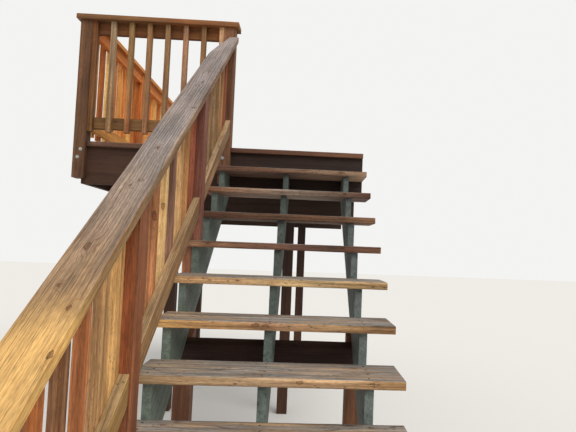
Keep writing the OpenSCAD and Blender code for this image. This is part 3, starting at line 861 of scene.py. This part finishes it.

# Frame of the landing. Dark red-brown planks on edge, their near-black partly painted shade
# under the deck, darker still at the front rim's right end: two rims, joists between them,
# the outer two closing the sides, and two double beams on posts under them.
BACK = (0, 1, 0)
frame_grain = {"ring_gap": 0.008, "ring_depth": 0.35, "knots": 0.12, "checks": 0.5, "grey": "#4a3a30",
               "weathered": 0.1}
frame_wood = wood("frame_plank", RIGHT, **frame_grain)
beam_tones = ("#3c271c", "#33231b")
frame_planks = {
    "front_rim": ("front_rim_plank", ("#42291a", "#38241b", "#2f1f18", "#2d1f1a")),
    "back_rim": ("back_rim_plank", beam_tones),
    "front_beam": ("front_beam_planks", beam_tones),
    "back_beam": ("back_beam_planks", beam_tones),
}
for i, (node, (name, tones)) in enumerate(frame_planks.items()):
    fit_board(node, name, RIGHT, [tones], 100 + i, frame_wood, "frame_wood")

joist_thickness = 0.038
joist_spacing = 0.406
joist_edge = 0.001
joists_low, joists_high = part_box("deck_joists")
joists_room = joists_high.x - joists_low.x - joist_thickness
joist_bays = math.ceil(joists_room / joist_spacing)
joist_pitch = joists_room / joist_bays
joist_wood = wood("joist_plank", BACK, **frame_grain)
mesh = grow("deck_joists", row, {
    "Start": (joists_low.x + joist_thickness / 2, joists_low.y, (joists_low.z + joists_high.z) / 2),
    "Length": (0, joists_high.y - joists_low.y, 0), "Width": joist_thickness,
    "Thickness": joists_high.z - joists_low.z, "Edge": joist_edge, "Count": joist_bays + 1,
    "Step": (joist_pitch, 0, 0), "Finish": joist_wood})
joists = season("deck_joist_planks", mesh, BACK, ["#3f291d", "#36251c", "#452e20"], 104, joist_wood)
place_on_frame(joists, "frame_wood", "deck_joists")

support_wood = wood("support_post", UPRIGHT, ring_gap=0.007, ring_depth=0.45, streaks=0.5, knots=0.12,
                    checks=0.8, grey="#5a4a40", weathered=0.1)
# the deck posts' tones darken upward to near black, painted shade under the deck
for i, place in enumerate(("front_left", "front_right", "back_left", "back_right")):
    node = "deck_post_" + place
    fit_board(node, node + "_wood", UPRIGHT, [("#4b3022", "#3a2418", "#30201a")], 105 + i, support_wood,
              "support_wood")

# Deck boards. Seventeen softwood boards lie across the joists, the front one a nosing
# past the rim, cut out round the guard posts and screwed to every joist.
deck_low, deck_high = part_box("deck_boards")
deck_count = round((deck_high.y - deck_low.y + board_gap) / (board_width + board_gap))
spaces = []
for node in ("stair_post_top", "corner_post", "side_post_middle", "side_post_back"):
    low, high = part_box(node)
    spaces.append((low.x, low.y, high.x, high.y))
deck_wood = wood("deck_board", RIGHT, ring_gap=0.008, knots=0.12, checks=0.8, grey="#857c74",
                 weathered=0.8, specks=0.2)
deck_tones = [("#62483a", "#5c4234", "#56392c", "#5e3f2f", "#6d4c38"), "#8a6248", "#7a5840", "#94704f",
              "#84614a"]
mesh = lay_boards("deck_boards", deck_count, deck_wood, spaces)
deck = season("deck_board_row", mesh, RIGHT, deck_tones, 110, deck_wood)
place_on_frame(deck, "deck_wood", "deck_boards")
mesh = grow("screws", screws, {
    "Board": deck,
    "First": (joists_low.x + joist_thickness / 2, deck_low.y + screw_inset, deck_high.z + aim_above),
    "Along": (joist_pitch, 0, 0), "Along Count": joist_bays + 1,
    "Across": (0, (board_width + board_gap) / 2, 0), "Across Count": 2 * deck_count, "Drive": DOWN,
    "Radius": screw_radius, "Wander": 0.004, "Seed": 111, "Finish": screw_steel})
place_on_frame(join("deck_screws", [mesh], screw_steel), None)

# Guard posts of the landing. Of the same rough-sawn softwood: the corner post is cut out
# round the corner of the frame, and the side posts lap the outer joist. Their legs are
# bolted on.
landing_post_tones = {
    # along its height, and the corner post's darker right side, painted shade on that face
    "corner_post": (("#6e5038", "#6e4f34", "#664830", "#66462d"), "#4c2f1e"),
    "side_post_middle": (("#b0672e", "#b56e36"), None),
    "side_post_back": (("#a8652f", "#ad6b35"), None),
}
for i, (node, (tones, painted_side_tone)) in enumerate(landing_post_tones.items()):
    fit_board(node, node + "_wood", UPRIGHT, [tones], 120 + i, post_wood, "post_wood", sapwood=painted_side_tone)

# Bolts. Galvanised hexagon heads on round washers, through the posts' legs into the
# rim, the outer joist and the left stringer.
washer_radius = 0.0125
washer_thickness = 0.0025
hexagon_share = 0.58
hexagon_depth = 0.016


def bolt_head(tree, radius):
    """Washer with a hexagon head on it."""
    washer = wire(tree, "GeometryNodeMeshCylinder",
                  {"Vertices": 20, "Radius": radius, "Depth": washer_thickness * 2}, fill_type="NGON")
    hexagon_radius = maths(tree, "MULTIPLY", radius, hexagon_share)
    hexagon = wire(tree, "GeometryNodeMeshCylinder",
                   {"Vertices": 6, "Radius": hexagon_radius, "Depth": hexagon_depth}, fill_type="NGON")
    both = wire(tree, "GeometryNodeJoinGeometry")
    tree.links.new(washer.outputs["Mesh"], both.inputs[0])
    tree.links.new(hexagon.outputs["Mesh"], both.inputs[0])
    return both.outputs[0]


bolts = fasteners("washered_bolts", bolt_head)
galvanised = metal("galvanised_steel", "#c9ccce", 0.4, "#8f9294")
rim_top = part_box("front_rim")[1].z
front_bolts = (
    # post, right of its left face, below the rim's top, step to the next one, how many
    ("stair_post_top", 0.033, 0.05, (0, 0, 0), 1),
    ("corner_post", 0.057, 0.03, (-0.02, 0, -0.06), 2),
)
side_bolts = {
    # post, height of its first bolt, step to the second
    "side_post_middle": (rim_top - 0.05, (0, 0, -0.12)),
    "side_post_back": (rim_top - 0.05, (0, 0, -0.12)),
    "stair_post_lower": (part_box("stair_post_lower")[0].z + 0.07, (0, 0.012, 0.13)),
    "stair_post_upper": (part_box("stair_post_upper")[0].z + 0.07, (0, 0.012, 0.13)),
}
bolt_rows = []
for node, across, down, step, count in front_bolts:
    low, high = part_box(node)
    bolt_rows.append((node, (low.x + across, low.y - aim_outside, rim_top - down), step, count, BACK))
for node, (height, step) in side_bolts.items():
    low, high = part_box(node)
    bolt_rows.append((node, (low.x - aim_outside, (low.y + high.y) / 2, height), step, 2, RIGHT))
driven = [grow("bolts", bolts, {
    "Board": bpy.data.objects[node + "_wood"], "First": first, "Along": step, "Along Count": count,
    "Across Count": 1, "Drive": drive, "Radius": washer_radius, "Seed": 130, "Finish": galvanised})
    for node, first, step, count, drive in bolt_rows]
place_on_frame(join("post_bolts", driven, galvanised), None)

# Front guard of the landing. Two softwood rails on edge between the corner post and the
# flight's top post, balusters screwed to their outer faces and a flat cap on top.
cross_rail_wood = wood("front_guard_rail", RIGHT, ring_gap=0.007, knots=0.12, checks=0.6, grey="#8a6a48",
                       weathered=0.5)
cross_rail_tones = {
    "front_guard_top_rail": ("#6a4224", "#7a4c26"),
    "front_guard_bottom_rail": ("#74542f", "#604424", "#86623c", "#86603a", "#80583a"),
}
for i, (node, tones) in enumerate(cross_rail_tones.items()):
    fit_board(node, node + "_board", RIGHT, [tones], 140 + i, cross_rail_wood, "rail_wood")
# from the corner post onward; the seventh, darker one is painted shade
front_stick_tones = (
    ("#745026", "#704420"), ("#95724c", "#a18c71"), ("#8e5c38", "#93764a"), ("#8a6142", "#86643f"),
    ("#856040", "#8a6a48"), ("#967252", "#8e6a50"), ("#8e6842", "#7c5a38"), ("#b48261", "#c8a07a"))
stand_balusters("front_guard_balusters", RIGHT, BACK, front_stick_tones, 142)
front_cap_wood = wood("front_cap_board", RIGHT, ring_gap=0.01, ring_depth=0.5, knots=0.15, checks=0.6,
                      grey="#8d7b62", weathered=0.8)
fit_board("front_guard_cap", "front_guard_cap_board", RIGHT, [("#745030", "#7a5430", "#88562f", "#80542f")],
          143, front_cap_wood, "cap_wood")

# Side guard of the landing. The same rails, balusters and cap in two bays, of a bright
# orange wood that has hardly weathered, its brightness partly painted sunlight; the cream
# sticks among the orange ones are painted sunlit faces.
bright_rail_wood = wood("side_guard_board", BACK, ring_gap=0.007, knots=0.1, checks=0.3, grey="#c9a05c",
                        weathered=0.6)
side_boards = {"side_guard_top_rails": ("rail_wood", "#cc7a36"),
               "side_guard_bottom_rails": ("rail_wood", "#d99a4c"),
               "side_guard_cap": ("cap_wood", "#cf8a44")}
for i, (node, (slot, tone)) in enumerate(side_boards.items()):
    fit_board(node, node + "_board", BACK, [tone], 150 + i, bright_rail_wood, slot)
# orange sticks alternate with cream and pale orange ones, the pale ones painted sunlight
side_stick_tones_sunlit = ("#c47a3a", "#e8b468", "#b86e34", "#f0c67c", "#c2783a", "#dc9c54")
stand_balusters("side_guard_balusters", BACK, RIGHT, side_stick_tones_sunlit, 153, post="side_post_middle")

# Support under the flight. Two short rough posts under the outer stringers, their tops
# cut to the slope, and a bevelled board across them that carries the middle one.
for i, node in enumerate(("support_post_left", "support_post_right")):
    fit_board(node, node + "_wood", UPRIGHT, [("#6e4932", "#6a4632")], 160 + i, support_wood, "support_wood")
# the cross board's near-black brown is painted shade under the flight
fit_board("support_cross_board", "support_cross_board_wood", RIGHT, ["#33201a"], 162, frame_wood,
          "support_wood")

# The view shows colours as they are written.
scene.view_settings.view_transform = "Standard"
